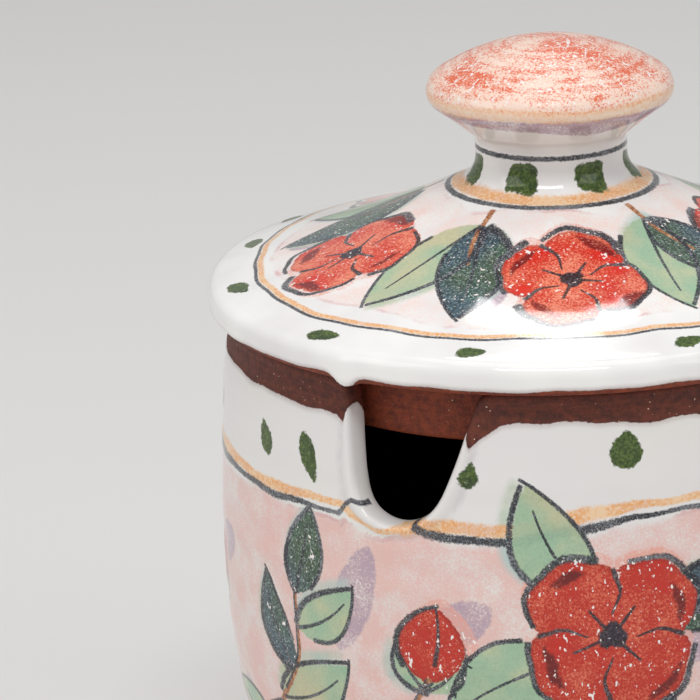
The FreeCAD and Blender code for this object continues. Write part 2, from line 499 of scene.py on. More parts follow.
roll = np.exp(-((cut - ROLL_PLACE) / ROLL_WIDTH) ** 2) * ROLL_HEIGHT * full
crease = cut - CREASE_PLACE + 0.6 * smooth_step(height, 80, 89)
crease = np.exp(-(crease / CREASE_WIDTH) ** 2) * full
bare = 1 - smooth_step(glaze, -0.35, 0.35)
true += (roll - crease * CREASE_DEPTH) * outside - GLAZE_THICKNESS * outside * bare
co[:, :2] *= (true / np.maximum(radius, 1e-6))[:, None]
co[:, 2] += (RIM_HEIGHT * MM - co[:, 2].max()) * smooth_step(height, 92, 95)
put(pot.data, co)


FAR = 20.0  # a depth that counts as nowhere near a layer of paint


class Layers:
    """The paint on one piece: for every point of its mesh, how deep it lies in each layer."""

    FILLS = ("pink", "mauve", "sea", "halo", "red", "deep", "pale_leaf", "dark_leaf", "heart",
             "dab", "blush")
    LINES = ("ochre", "band", "stem", "vein", "rib", "keel", "ink", "pen", "hair")

    def __init__(self, mesh, **more):
        self.mesh = mesh
        self.values = {name: np.full(len(mesh.vertices), -FAR) for name in self.FILLS}
        for name in self.LINES:
            self.values[name + "_side"] = np.full(len(mesh.vertices), FAR)
            self.values[name + "_reach"] = np.full(len(mesh.vertices), FAR)
        self.values["crease"] = np.zeros(len(mesh.vertices))
        self.values.update(more)

    def ring(self, name, where, above, half, drawn=True):
        """Draws a line right round the piece, from how far above it the points lie."""
        for part, value in (("_side", above / half), ("_reach", np.where(drawn, 0.0, FAR))):
            self.values[name + part] = np.where(where, value, self.values[name + part])

    def keep(self):
        for name, values in self.values.items():
            layer = self.mesh.attributes.new(name, "FLOAT", "POINT")
            layer.data.foreach_set("value", values.astype(np.float32))


class Painter:
    """Paints shapes on part of a piece, laid flat: places are complex numbers, in mm."""

    MARGIN = 3.0

    def __init__(self, layers, spots, where, girth=None):
        self.layers, self.spots, self.where, self.girth = layers, spots, where, girth

    def near(self, shape):
        """The points near a shape, and where they lie as seen from it."""
        spots, near = self.spots, self.where
        if self.girth:
            middle = shape.real.mean()
            spots = spots - self.girth * np.round((spots.real - middle) / self.girth)
        for part, edge in ((spots.real, shape.real), (spots.imag, shape.imag)):
            near = near & (part > edge.min() - self.MARGIN) & (part < edge.max() + self.MARGIN)
        chosen = np.flatnonzero(near)
        return chosen, spots[chosen]

    @staticmethod
    def closest(spots, curve):
        """For each spot, its distance to the curve, which side it lies on, and how far along."""
        start, run = curve[:-1], np.diff(curve)
        away = spots[:, None] - start
        share = np.clip((away * run.conj()).real / np.abs(run) ** 2, 0, 1)
        distance = np.abs(away - share * run)
        nearest = distance.argmin(axis=1)
        pick = np.arange(len(spots)), nearest
        side = (run[nearest].conj() * away[pick]).imag / np.abs(run[nearest])
        return distance[pick], side, (nearest + share[pick]) / len(run)

    def fill(self, layer, shape):
        """Fills a closed shape."""
        chosen, spots = self.near(shape)
        loop = np.append(shape, shape[0])
        distance = self.closest(spots, loop)[0]
        winding = np.angle((loop[1:] - spots[:, None]) / (loop[:-1] - spots[:, None])).sum(axis=1)
        signed = np.where(np.abs(winding) > math.pi, distance, -distance)
        values = self.layers.values[layer]
        values[chosen] = np.maximum(values[chosen], signed)

    def line(self, layer, curve, width, taper=0.0):
        """Draws a line of the half width, thinner towards its end by the taper."""
        chosen, spots = self.near(curve)
        distance, side, along = self.closest(spots, curve)
        half = width * (1 - taper * along)
        sides, reaches = (self.layers.values[layer + part] for part in ("_side", "_reach"))
        nearer = distance - half < reaches[chosen]
        chosen = chosen[nearer]
        reaches[chosen] = (distance - half)[nearer]
        sides[chosen] = (side / half)[nearer]


def curve_through(*knots, steps=8):
    """A smooth curve through a few knots."""
    knots = np.array([2 * knots[0] - knots[1], *knots, 2 * knots[-1] - knots[-2]])
    share = np.arange(steps) / steps
    runs = []
    for a, b, c, d in zip(knots, knots[1:], knots[2:], knots[3:]):
        runs.append(0.5 * (2 * b + (c - a) * share + (2 * a - 5 * b + 4 * c - d) * share ** 2
                           + (3 * b - a - 3 * c + d) * share ** 3))
    return np.append(np.concatenate(runs), knots[-2])


def closed(one, other):
    """The outline of the shape between two lines that meet at both ends."""
    return np.concatenate([one, other[-2:0:-1]])


def leaf(painter, base, tip, belly, bend, tone, hand):
    """One lance-shaped leaf with its rib and a loose outline, bent to one side."""
    share = np.linspace(0, 1, 22)
    across = (tip - base) / abs(tip - base) * 1j
    rib = base + (tip - base) * share + across * bend * 4 * share * (1 - share)
    half = belly * np.sin(math.pi * share ** 0.8) ** 0.85
    upper, lower = rib + across * half, rib - across * half
    painter.fill(tone, closed(upper, lower))
    slip = complex(*hand.uniform(-0.9, 0.9, 2))
    painter.fill("sea", closed(upper, lower) + slip * 1.6 + across * 0.8)
    painter.line("rib", rib[1:17], 0.36, 0.5)
    painter.line("vein", upper[1:-1] + slip * 0.5, hand.uniform(0.5, 0.7), 0.35)
    painter.line("keel", lower[int(hand.integers(4, 8)):] + slip * 0.4, 0.42, 0.3)


def poppy(painter, place, size, turn, petals, hand):
    """An open poppy: lobed petals, a dark heart with its stamens, and a loose outline."""
    def rim(angle, reach=1.0):
        lobe = np.abs(np.sin(petals * angle / 2)) ** 0.55
        ripple = 0.03 * np.sin(3 * angle + turn) + 0.02 * np.sin(11 * angle + 2 * turn)
        return place + size * reach * (0.7 + 0.27 * lobe + ripple) * np.exp(1j * (angle + turn))

    angles = np.linspace(0, 2 * math.pi, 96, endpoint=False)
    painter.fill("red", rim(angles))
    shade = complex(*hand.uniform(-1.6, 1.6, 2))
    painter.fill("halo", rim(angles, 1.04) + shade)
    step = 2 * math.pi / petals
    slip = complex(*hand.uniform(-0.7, 0.7, 2))
    for petal in range(petals):
        first, last = hand.uniform(0.04, 0.2), hand.uniform(0.8, 0.98)
        arc = rim((petal + np.linspace(first, last, 18)) * step, 1.03) + slip
        painter.line("ink", arc, hand.uniform(0.5, 0.8), 0.4)
        fold = rim(np.array([petal * step]))[0]
        inner = place + (fold - place) * 0.42
        sag = (fold - place) * 0.09j * hand.choice([-1, 1])
        painter.line("pen", curve_through(fold, (fold + inner) / 2 + sag, inner), 0.42, 0.6)
        share = np.linspace(0, 1, 14)
        sweep = (petal + hand.uniform(0.05, 0.3) + share * hand.uniform(0.35, 0.6)) * step
        outer, thick = hand.uniform(0.8, 0.98), hand.uniform(0.1, 0.22)
        painter.fill("deep", closed(rim(sweep, outer),
                                    rim(sweep, outer - thick * np.sin(math.pi * share))))
        ray = np.exp(1j * ((petal + hand.uniform(0.3, 0.7)) * step + turn)) * size
        painter.line("hair", np.array([place + ray * 0.14, place + ray * 0.25,
                                       place + ray * hand.uniform(0.32, 0.4)]), 0.32, 0.3)
    wobble = 1 + 0.12 * np.sin(3 * angles + turn) + 0.08 * np.sin(5 * angles)
    painter.fill("heart", place + slip * 0.4 + size * 0.15 * wobble * np.exp(1j * angles))


def spray(painter, foot, tip, bend, leaves, hand):
    """A curved stem with broad leaves to both sides, in turn pale and dark."""
    across = (tip - foot) / abs(tip - foot) * 1j
    stem = curve_through(foot, foot + (tip - foot) * 0.5 + across * bend, tip)
    painter.line("stem", stem, 0.6, 0.5)
    painter.line("ink", stem[3:] + across * 0.35, 0.26, 0.3)
    length = abs(tip - foot)
    for count in range(leaves):
        share = (count + 0.3) / leaves
        base = stem[int(share * (len(stem) - 1))]
        side = 1 if count % 2 else -1
        way = (tip - foot) / length * np.exp(1j * side * hand.uniform(0.6, 0.9))
        reach = length * hand.uniform(0.8, 0.95) * (1.05 - 0.3 * share)
        leaf(painter, base, base + way * reach, reach * hand.uniform(0.22, 0.27),
             side * reach * 0.1, "dark_leaf" if count % 3 == 1 else "pale_leaf", hand)
    way = (tip - foot) / length * np.exp(1j * hand.uniform(-0.2, 0.2))
    leaf(painter, tip, tip + way * length * 0.72, length * 0.19, bend * 0.1, "dark_leaf", hand)


def leaves_behind(painter, place, size, ways, hand):
    """Large leaves that stand out from behind a flower."""
    for count, way in enumerate(ways):
        way = np.exp(1j * math.radians(way + hand.uniform(-8, 8)))
        leaf(painter, place + way * size * 0.5, place + way * size * hand.uniform(1.85, 2.1),
             size * hand.uniform(0.36, 0.44), hand.uniform(-0.15, 0.15) * size,
             "dark_leaf" if count % 2 else "pale_leaf", hand)


def bud(painter, foot, place, size, hand):
    """A closed bud nodding on its stem, half out of its green husk."""
    way = (place - foot) / abs(place - foot)
    share = np.linspace(0, 1, 20)
    half = size * 0.42 * np.sin(math.pi * share ** 0.9) ** 0.7
    rib = place + way * size * share
    shape = closed(rib + 1j * way * half, rib - 1j * way * half)
    painter.fill("red", shape)
    painter.fill("halo", rib.mean() + 0.9 + 1.25 * (shape - rib.mean()))
    painter.line("ink", rib[4:] + 1j * way * (half[4:] + 0.3), 0.62, 0.4)
    painter.line("pen", rib[6:19] - 1j * way * half[6:19] * 0.2, 0.4, 0.5)
    for side in (-1, 1):
        leaf(painter, place - way * size * 0.12, place + way * size * 0.55
             + side * 1j * way * size * 0.38, size * 0.15, side * size * 0.1, "pale_leaf", hand)
    sag = 1j * way * abs(place - foot) * 0.16
    stem = curve_through(foot, (foot + place) / 2 + sag, place)
    painter.line("stem", stem, 0.5, 0.2)
    painter.line("ink", stem + 0.4j * way, 0.18)


def dab(painter, place, way, half):
    """One touch of a loaded brush, way being half its length and direction."""
    share = np.linspace(0, 1, 14)
    rib = place - way + 2 * way * share
    belly = half * np.sin(math.pi * share ** 0.75) ** 0.8 * 1j * way / abs(way)
    painter.fill("dab", closed(rib + belly, rib - belly))


# The band runs round the shoulder and under the notch.  Below it poppies and leaf sprays take
# turns round the pot in two rows, over a pink wash that ends in a second band above the foot.
OCHRE_BAND = [
    (-180, 76.2), (-150, 75.4), (-120, 76.5), (-90, 75.6), (-60, 76.4), (-36, 75.7), (-23, 75.9),
    (-17, 76.0), (-14, 76.2), (-11.6, 76.3), (-9.6, 75.0), (-7, 74.1), (-4, 73.4), (-1.5, 73.7),
    (2, 74.4), (6, 75.0), (13, 75.1), (20, 75.4), (28, 76.8), (38, 78.6), (48, 78.8), (62, 77.2),
    (85, 75.4), (110, 76.5), (145, 75.6)]
INK_BAND = [
    (-180, 75.0), (-150, 74.2), (-120, 75.3), (-90, 74.4), (-60, 75.2), (-36, 74.4), (-23, 74.6),
    (-14, 74.6), (-12, 74.6), (-10.6, 76.4), (-9, 77.4), (-7, 77.0), (-4, 75.8), (1.6, 75.8),
    (3, 74.2), (4.5, 73.6), (13, 73.4), (20, 73.6), (28, 75.0), (38, 76.8), (48, 77.0),
    (62, 75.6), (85, 74.2), (110, 75.3), (145, 74.4)]
INK_GAP = (-5.6, 1.6)  # degrees: the brush was lifted below the notch
LOW_BAND = 10.0
SHOULDER_DABS = [(-19, 82.0, 1.4 - 3.9j, 1.7), (11.6, 83.2, 0.5 + 1.9j, 1.5),
                 (37, 87.0, 0.3 + 3.0j, 2.5)]  # degrees, height, half its length, half width
POT_MOTIFS = 6
FIRST_MOTIF = 34  # degrees
UPPER_ROW, LOWER_ROW = 58, 29
UPPER_POPPY, LOWER_POPPY = 14.0, 12.5
hand = np.random.default_rng(7)
paint = Layers(pot.data, glaze=glaze, inside=np.where(inside, 1.0, 0.0))
coat = (glaze > -2) & (depth < 2.0) & (height > 4)
girth = 2 * math.pi * RIM_RADIUS
painter = Painter(paint, around + 1j * height, coat, girth)
degrees = np.degrees(turn)


def above(knots, *unevenness):
    """How far the points lie above a hand-drawn line, measured across the line."""
    step = 0.003
    here, next_to_it = (through(way, knots) + waves(way, *unevenness)
                        for way in (turn, turn + step))
    return (height - here) / np.hypot(1, (next_to_it - here) / (step * RIM_RADIUS))


upper_ink = above(INK_BAND, (0.2, 17, 0.5), (0.12, 31, 1.0))
upper_ochre = above(OCHRE_BAND, (0.2, 15, 0.1), (0.1, 37, 1.0))
low_band = LOW_BAND + waves(turn, (0.4, 4, 0.3), (0.3, 13, 1.2))
lower_ink = height - low_band
drawn = (upper_ink > -3) & ~((degrees > INK_GAP[0]) & (degrees < INK_GAP[1])) | (lower_ink < 3)
swelling = 1 + waves(turn, (0.25, 5, 0.2), (0.2, 13, 1.4))
swelling *= 1 - 0.5 * smooth_step(degrees, -10, -7) * (degrees < 0)
high, low = coat & (height > 40), coat & (height <= 40)
paint.ring("band", high, upper_ink, 0.62 * swelling, drawn)
paint.ring("band", low, lower_ink, 0.4, drawn)
paint.ring("ochre", high, upper_ochre, 0.95 * swelling)
paint.ring("ochre", low, lower_ink - 1.2, 0.7)
washed = np.minimum(-0.9 - np.maximum(upper_ink, upper_ochre), lower_ink - 1.5)
washed += waves(turn, (0.35, 9, 0.2), (0.3, 22, 0.9))
paint.values["pink"] = np.where(coat, washed, -FAR)
# Painted shade: the crease beside the notch's roll is darkened in colour, fully on the left side
# and half as much on the right.
paint.values["crease"] = crease * coat * (height > 75) * np.where(turn < 0, 1.0, 0.5)
for slot in range(POT_MOTIFS):
    middle = math.radians(FIRST_MOTIF + 360 / POT_MOTIFS * slot) * RIM_RADIUS
    if middle > girth / 2:
        middle -= girth
    lift, swing = hand.uniform(-2.0, 2.0, 2)
    upper, lower = middle + 1j * (UPPER_ROW + lift), middle + 1j * (LOWER_ROW + swing)
    if slot % 2 == 0:
        leaves_behind(painter, upper, UPPER_POPPY, (112, 22, 205), hand)
        poppy(painter, upper, UPPER_POPPY, hand.uniform(0, 6), 5 if slot else 4, hand)
        spray(painter, lower - 4 - 13j, lower + 3 + 6j, 3.0, 3, hand)
    else:
        spray(painter, upper - 3 - 19j, upper + 3 + 1j, -3.0, 3, hand)
        leaves_behind(painter, lower, LOWER_POPPY, (160, 30), hand)
        poppy(painter, lower, LOWER_POPPY, hand.uniform(0, 6), 5, hand)
    between = middle - girth / POT_MOTIFS / 2
    bud(painter, between - 2 + 36j, between + hand.uniform(-2, 2) + 50j, 12.5, hand)
    share = np.linspace(0, 1, 16)
    for place, way in ((upper + 15 + 3j, 3 + 9j), (lower - 15 + 4j, -2 + 8j),
                       (between + 5 + 60j, 5 + 3j)):
        rib = place - way + 2 * way * share
        half = 3.4 * np.sin(math.pi * share) ** 0.6 * 1j * way / abs(way)
        painter.fill("mauve", closed(rib + half, rib - half))
for degrees, level, way, half in SHOULDER_DABS:
    dab(painter, math.radians(degrees) * RIM_RADIUS + 1j * level, way, half)
for degrees in np.arange(64, 330, 26.5):
    dab(painter, (math.radians(degrees) * RIM_RADIUS + 1j * hand.uniform(82, 85.5)),
        complex(*hand.uniform((-1.2, 2.2), (1.2, 3.4))), hand.uniform(1.5, 2.3))
paint.keep()


GLAZE_STEP = 0.16  # how far the glaze's edge stands out in the relief, in mm


def painted_glaze(name, white, pink, pink_cover, reds_used, red_cover, clays):
    """Brushed colours under a glossy glaze over red clay, from the layers on the mesh."""
    look = Finish(name)
    mix, tinted, noise, painted, node = look.mix, look.tinted, look.noise, look.painted, look.node
    washed_red, red, fresh_red, dark_red = reds_used
    ragged = noise(0.9, 3.0, 0.65) * 1.1
    frayed = noise(0.3, 2.0, 0.7, shift=11.0)
    grain = noise(0.34, 2.0, 0.7, shift=1.0)
    speckle = noise(0.5, 3.0, 0.75, shift=2.0)
    blots = noise(6.0, 2.0, 0.55, shift=3.0)
    clouds = noise(14.0, 2.0, 0.5, shift=4.0)

    def inside_of(layer, soft=0.12, wander=1.0):
        return (painted(layer) + ragged * wander).ramp(-soft, soft)

    def line_of(layer, wander=0.6, fray=1.0, soft=0.3):
        across = abs(painted(layer + "_side")) + ragged * wander + frayed * fray
        ends = 1 - painted(layer + "_reach").ramp(0.4, 0.8)
        return (1 - across.ramp(0.95 - soft, 0.95 + soft)) * ends

    def thin(strength, grit, blot):
        """How much colour a wash leaves: it settles in grains and in pools."""
        return (grain * grit + blots * blot + strength).ramp(0.0, 1.0)

    colour = mix(clouds.ramp(-0.2, 0.25), white, (236, 233, 233))
    # Painted shade: a mauve-grey darkening laid in the crease beside the notch.
    crease_shade_and_mauve_swell = painted("crease") * (blots * 3 + 0.6).ramp(0, 1) * 0.55
    colour = mix(crease_shade_and_mauve_swell, colour, (176, 160, 172))
    pinks = painted("pink")
    colour = mix((pinks + ragged).ramp(-0.3, 1.0) * thin(pink_cover, 1.5, 1.5), colour, pink)
    rim = (1 - abs(pinks + ragged * 1.4 - 0.2).ramp(0.15, 0.5)) * (blots * 4 + 0.35).ramp(0, 1)
    colour = mix(rim * 0.6, colour, (220, 158, 156))
    colour = mix(inside_of("mauve", 0.25) * thin(0.75, 2.4, 1.6), colour, (190, 166, 180))
    sea = mix((clouds * 5 + 0.4).ramp(0, 1), (186, 208, 204), (184, 200, 166))
    colour = mix(inside_of("sea", 0.8, 0.8) * thin(0.72, 0.5, 1.5), colour, sea)
    colour = mix(inside_of("halo", 0.2) * thin(0.6, 1.8, 1.6), colour, (240, 172, 156))

    pale = mix((blots * 3 + 0.4).ramp(0, 1), (164, 196, 166), (196, 204, 168))
    pale = tinted(pale, clouds * 5 + 0.05, 0.8, (212, 200, 162))
    pale = tinted(pale, grain * 5 + 0.2, 0.25, (118, 152, 122))
    colour = mix(inside_of("pale_leaf", 0.2), colour, pale)
    dark = mix((clouds * 5 + 0.5).ramp(0, 1), (82, 104, 78), (70, 94, 110))
    dark = tinted(dark, blots * 6 - 0.3, 0.7, (44, 108, 86))
    dark = tinted(dark, speckle * 7 + 0.4, 0.75, (32, 42, 44))
    dark = tinted(dark, grain * 8 - 0.25, 0.7, (172, 194, 188))
    colour = mix(inside_of("dark_leaf"), colour, dark)

    reds = painted("red")
    body = mix(thin(red_cover, 3.4, 2.2), washed_red, red)
    body = mix((blots * 5 - 0.2).ramp(0, 1), body, fresh_red)
    body = mix((1 - (reds + ragged).ramp(0.0, 0.9)) * 0.35, body, dark_red)
    colour = mix((reds + ragged).ramp(-0.12, 0.12), colour, body)
    deep = inside_of("deep", 0.3) * thin(0.9, 1.6, 1.6) * reds.ramp(0, 0.5)
    colour = mix(deep, colour, dark_red)

    # The knob is washed in rings, as it turned on the wheel.
    radius = node("ShaderNodeVectorMath", {"operation": "LENGTH"},
                  {0: look.stretched(1, 1, 0)}, "Value")
    along = node("ShaderNodeSeparateXYZ", {}, {0: look.place}, 2)
    rings = node("ShaderNodeCombineXYZ", {}, {
        0: radius + ragged * 0.0004, 1: along + blots * 0.002, 2: 0.0})
    strokes = noise(1.5, 3.0, 0.6, rings, 12.0)
    height = painted("blush")
    laid_on = strokes * 2.0 + grain * 3.8 + blots * 2.6 + height.ramp(0.0, 4.0) * 0.45 + 0.02
    blush = mix(laid_on.ramp(0, 1), (252, 224, 207), (232, 104, 64))
    colour = mix(inside_of("blush", 0.5, 1.0), colour, blush)

    shown = 1 - inside_of("pale_leaf").most(inside_of("dark_leaf")).most(inside_of("red")) * 0.9
    ochre = tinted((240, 168, 98), speckle * 4 + blots * 3 + 0.45, 0.85, (248, 218, 182))
    on_knob = 1 - height.ramp(-3.0, -1.0) * 0.35
    colour = mix(line_of("ochre", 0.9, 0.6, 0.35) * thin(0.9, 1.4, 1.6) * shown * on_knob,
                 colour, ochre)
    brown = mix((speckle * 5 + 0.4).ramp(0, 1), (150, 88, 52), (206, 150, 108))
    colour = mix(line_of("stem", 0.8), colour, brown)
    charcoal = tinted((33, 37, 47), grain * 9 + blots * 4 + 0.02, 0.62, (164, 167, 172))
    charcoal = mix(inside_of("red", 0.3) * 0.4, charcoal, (70, 24, 26))
    heart = tinted((38, 28, 36), speckle * 6 + 0.3, 0.6, (96, 84, 100))
    colour = mix(inside_of("heart", 0.2), colour, heart)
    ink, pen, hair, band, vein, rib, keel = (
        line_of(line, 0.7, 1.4) for line in ("ink", "pen", "hair", "band", "vein", "rib", "keel"))
    behind = vein.most(rib).most(keel) * (1 - inside_of("red"))
    drawn = ink.most(pen).most(hair).most(band * shown).most(behind)
    colour = mix(drawn * (grain * 2 + 0.95).ramp(0, 1), colour, charcoal)
    green = tinted((54, 76, 32), speckle * 6 + 0.4, 0.6, (112, 132, 62))
    green = tinted(green, blots * 6 - 0.1, 0.6, (32, 52, 22))
    green = tinted(green, speckle * 5 + blots * 4 - 0.75, 0.7, (176, 188, 150))
    colour = mix(inside_of("dab", 0.15, 1.4), colour, green)

    # Small bare flecks in the colour, where the glaze has crawled, and hair-fine scratches, which
    # on the knob are drawn pale and stand partly as a painted highlight, the broken reflection on
    # its rough top.
    flecks = noise(0.62, 2.0, 0.4, look.stretched(1.0, 1.0, 0.6), 6.0)
    dots = noise(0.42, 1.0, 0.4, shift=7.0)
    knob = painted("blush").ramp(0.0, 1.5)
    coloured = reds.most(painted("dark_leaf")).most(painted("halo")).ramp(0.0, 0.4)
    bare = (flecks + blots * 0.2 + knob * 0.03).ramp(0.165, 0.195)
    bare = bare.most((dots + blots * 0.15).ramp(0.2, 0.24) * 0.75)
    colour = mix(bare * coloured.most(knob), colour, (250, 242, 238))
    cracks = node("ShaderNodeTexVoronoi", {"feature": "DISTANCE_TO_EDGE"},
                  {"Vector": look.place, "Scale": 320.0, "Randomness": 1.0})
    # Pale scratches on the knob: partly real scratches, partly a painted highlight on its rough
    # top.
    scratches_and_highlight = (1 - (cracks + frayed * 0.06).ramp(0.015, 0.035)) * (blots - 0.09).ramp(0, 0.04)
    colour = mix(scratches_and_highlight * knob * 0.8, colour, (250, 240, 234))

    # The bare clay, its turning lines and its pale grit.
    turning = noise(6.0, 3.0, 0.6, look.stretched(0.35, 0.35, 9.0), 8.0)
    clay = mix((noise(1.3, 4.0, 0.7, shift=9.0) * 3 + 0.5).ramp(0, 1), *clays[:2])
    clay = tinted(clay, turning * 3 + 0.3, 0.35, clays[2])
    clay = tinted(clay, grain * 5 + 0.1, 0.45, (50, 22, 15))
    grit = noise(0.5, 1.0, 0.5, shift=10.0)
    clay = mix((grit + blots * 0.2).ramp(0.235, 0.26), clay, (226, 198, 170))
    edge = painted("glaze") + ragged * 0.5
    covered = edge.ramp(-0.08, 0.08)
    thinned = (1 - edge.ramp(0.0, 1.0)) * 0.4
    colour = mix(thinned, colour, (176, 150, 146))
    colour = mix(covered, clay, colour)
    # Painted shade: the inside of the pot is coloured near black, for the deep shade inside the
    # closed pot.
    hollow = painted("inside").ramp(0.4, 0.6)
    colour = mix(hollow, colour, (30, 19, 14))
    glossy = covered.most(hollow)

    on_clay = (1 - covered) * (grain * 0.14 + turning * 0.1)
    on_glaze = covered * (blots * 0.02 + clouds * 0.05 + knob * (speckle * 0.08 + strokes * 0.06))
    relief = covered * GLAZE_STEP + on_clay + on_glaze
    bump = node("ShaderNodeBump", {}, {"Strength": 1.0, "Distance": MM, "Height": relief})
    roughness = 0.68 - glossy * 0.62 + covered * speckle * 0.04 + knob * 0.12
    return look.close(node("ShaderNodeBsdfPrincipled", {}, {
        "Base Color": colour, "Roughness": roughness, "Normal": bump, "IOR": 1.5}))


# Painted shade: the pot has the same glaze as the lid, but its white, pink and reds are given
# darker than the lid's, for the body that stands in less light.
pot.data.materials.clear()
pot.data.materials.append(painted_glaze(
    "painted_glaze_of_the_pot", white=(238, 236, 231), pink=(237, 196, 188), pink_cover=0.7,
    reds_used=((230, 120, 90), (194, 46, 31), (204, 40, 24), (112, 22, 20)), red_cover=0.86,
    clays=((112, 50, 33), (74, 31, 21), (132, 64, 42))))

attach(pot, "root")
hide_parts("pot")

# ---- the lid ----
# Thrown upside down in one piece and turned when leather hard: a rounded edge, a low cone, a neck
# and a broad knob, with a flange below that drops into the mouth.  Dipped in the same glaze down
# to the edge, where the glaze stops in a thin line of bare clay, and painted.
lid_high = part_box("lid")[1]
SEAT = RIM_HEIGHT
LID_COLUMNS = 480
LID_RADIUS = round(lid_high[0] / MM, 3) - 0.02
KNOB_RADIUS = 19.4
FLANGE_RADIUS = 46.6
FLANGE_INSIDE = 43.0
LID_CORNERS = [
    # radius, height above the seat, rounding, greatest spacing of the rows
    (KNOB_RADIUS, 32.2, 2.4, 0.5),
    (11.95, 26.38, 2.0, 0.8),
    (11.95, 20.34, 4.5, 0.6),
    (34.43, 10.33, 150.0, 0.65),
    (LID_RADIUS, 4.6, 2.2, 0.65),
    (LID_RADIUS, 0.0, 1.6, 0.35),
    (FLANGE_RADIUS, 0.0, 0, 2.0),
    (FLANGE_RADIUS, -9.8, 1.2, 1.2),
    (FLANGE_INSIDE, -9.8, 1.2, 1.5),
    (FLANGE_INSIDE, 2.73, 5.0, 3.0),
    (14.0, 13.2, 12.0, 3.0),
    (0.0, 13.2, 0, 4.0),
]


def rounded(corners):
    """Points along a path whose corners are turned with arcs, at most the spacing apart."""
    points = [np.array(corners[0][:2], float)]

    def draw(run, spacing):
        length = np.linalg.norm(np.diff([points[-1]] + run, axis=0), axis=1).sum()
        count = max(1, math.ceil(length / spacing))
        if len(run) == 1:
            start = points[-1]
            run = [start + (run[0] - start) * share for share in np.arange(1, count + 1) / count]
        points.extend(run)

    for before, corner, after in zip(corners, corners[1:], corners[2:]):
        here, rounding = np.array(corner[:2], float), corner[2]
        way_in = here - np.array(before[:2])
        way_out = np.array(after[:2]) - here
        way_in, way_out = way_in / np.linalg.norm(way_in), way_out / np.linalg.norm(way_out)
        turn = math.acos(np.clip(way_in @ way_out, -1, 1))
        reach = rounding * math.tan(turn / 2)
        start, end = here - way_in * reach, here + way_out * reach
        if np.linalg.norm(start - points[-1]) > 0.01:
            draw([start], corner[3])
        if reach > 0.01:
            steps = max(3, math.ceil(rounding * turn / min(corner[3], 1.0)))
            points.extend(arc_points(start, way_in, end, steps))
    draw([np.array(corners[-1][:2], float)], corners[-1][3])
    return points


# The knob's low dome meets its edge without a break: the rounding starts where the dome ends.
brow, crown = np.array((17.9, 36.2)), np.array((0.0, 41.5))
dome = [crown] + arc_points(crown, np.array((1.0, 0.0)), brow, 26)
dome_way = arc_end(crown, np.array((1.0, 0.0)), brow)
shoulder = brow + dome_way * ((KNOB_RADIUS - brow[0]) / dome_way[0])
shoulder_turn = math.acos(-dome_way[1])
shoulder_round = np.linalg.norm(shoulder - brow) / math.tan(shoulder_turn / 2)
lid_profile = dome[:-1] + rounded([(*brow, 0, 0.8), (*shoulder, shoulder_round, 0.5)]
                                  + LID_CORNERS)

bpy.ops.object.select_all(action="DESELECT")
bpy.ops.mesh.primitive_plane_add(size=0.01, location=(0, 0, 0))
lid = bpy.context.object
lid.name = "honey_pot_lid"
editing(True)
bpy.ops.mesh.select_all(action="SELECT")
bpy.ops.mesh.merge(type="CENTER")
bpy.ops.transform.translate(value=(0, 0, (SEAT + lid_profile[0][1]) * MM))
for start, end in zip(lid_profile, lid_profile[1:]):
    bpy.ops.mesh.extrude_vertices_move(TRANSFORM_OT_translate={
        "value": ((end[0] - start[0]) * MM, 0, (end[1] - start[1]) * MM)})
bpy.ops.mesh.select_mode(type="VERT")
bpy.ops.mesh.select_all(action="SELECT")
bpy.ops.mesh.spin(steps=LID_COLUMNS, angle=2 * math.pi, center=(0, 0, 0), axis=(0, 0, 1))
bpy.ops.mesh.select_all(action="SELECT")
bpy.ops.mesh.remove_doubles(threshold=0.00002)
bpy.ops.mesh.normals_make_consistent(inside=False)
editing(False)
bpy.ops.object.shade_smooth()
# The edge is a little uneven, as thrown, and the glaze has run into a soft drop beside the notch.
LID_GLAZE_EDGE = 1.0
DROP = math.radians(-9.0)
DROP_LENGTH = 0.9
co = coordinates(lid.data)
facing = coordinates(lid.data, "normal")[:, 2]
turn, height, radius = rolled_out(co)
height = height - SEAT
under = (height < 0.02) | ((facing < 0.3) & (height < 16) & (radius < FLANGE_RADIUS + 0.1))
edge = smooth_step(radius, 46, 53) * ~under
run = np.exp(-((turn - DROP) / 0.035) ** 2)
glaze = np.where(under, -5.0, 5.0)
glaze = np.where((radius > 47) & ~under, height - LID_GLAZE_EDGE + 1.5 * run
                 + waves(turn, (0.12, 7, 0.0), (0.1, 19, 2.0), (0.07, 37, 1.0)), glaze)
sunk = smooth_step(radius, 50, 54) * (1 - smooth_step(glaze, -0.3, 0.35)) * GLAZE_THICKNESS
ripple = edge * (0.05 + waves(turn, (0.02, 5, 1.0), (0.02, 9, 0.0), (0.01, 14, 2.0)))
swell = 0.4 * run * edge * (1 - smooth_step(height, 3.0, 6.5))
drawn = radius - sunk - ripple - 0.02 + swell
co[:, :2] *= (drawn / np.maximum(radius, 1e-6))[:, None]
co[:, 2] += edge * waves(turn, (0.08, 3, 0.5), (0.05, 8, 1.0)) * smooth_step(height, 1, 4) * MM
hanging = run * smooth_step(radius, 52.6, 54.4) * (1 - smooth_step(height, 0.5, 4.0))
co[:, 2] -= DROP_LENGTH * hanging * MM
put(lid.data, co)

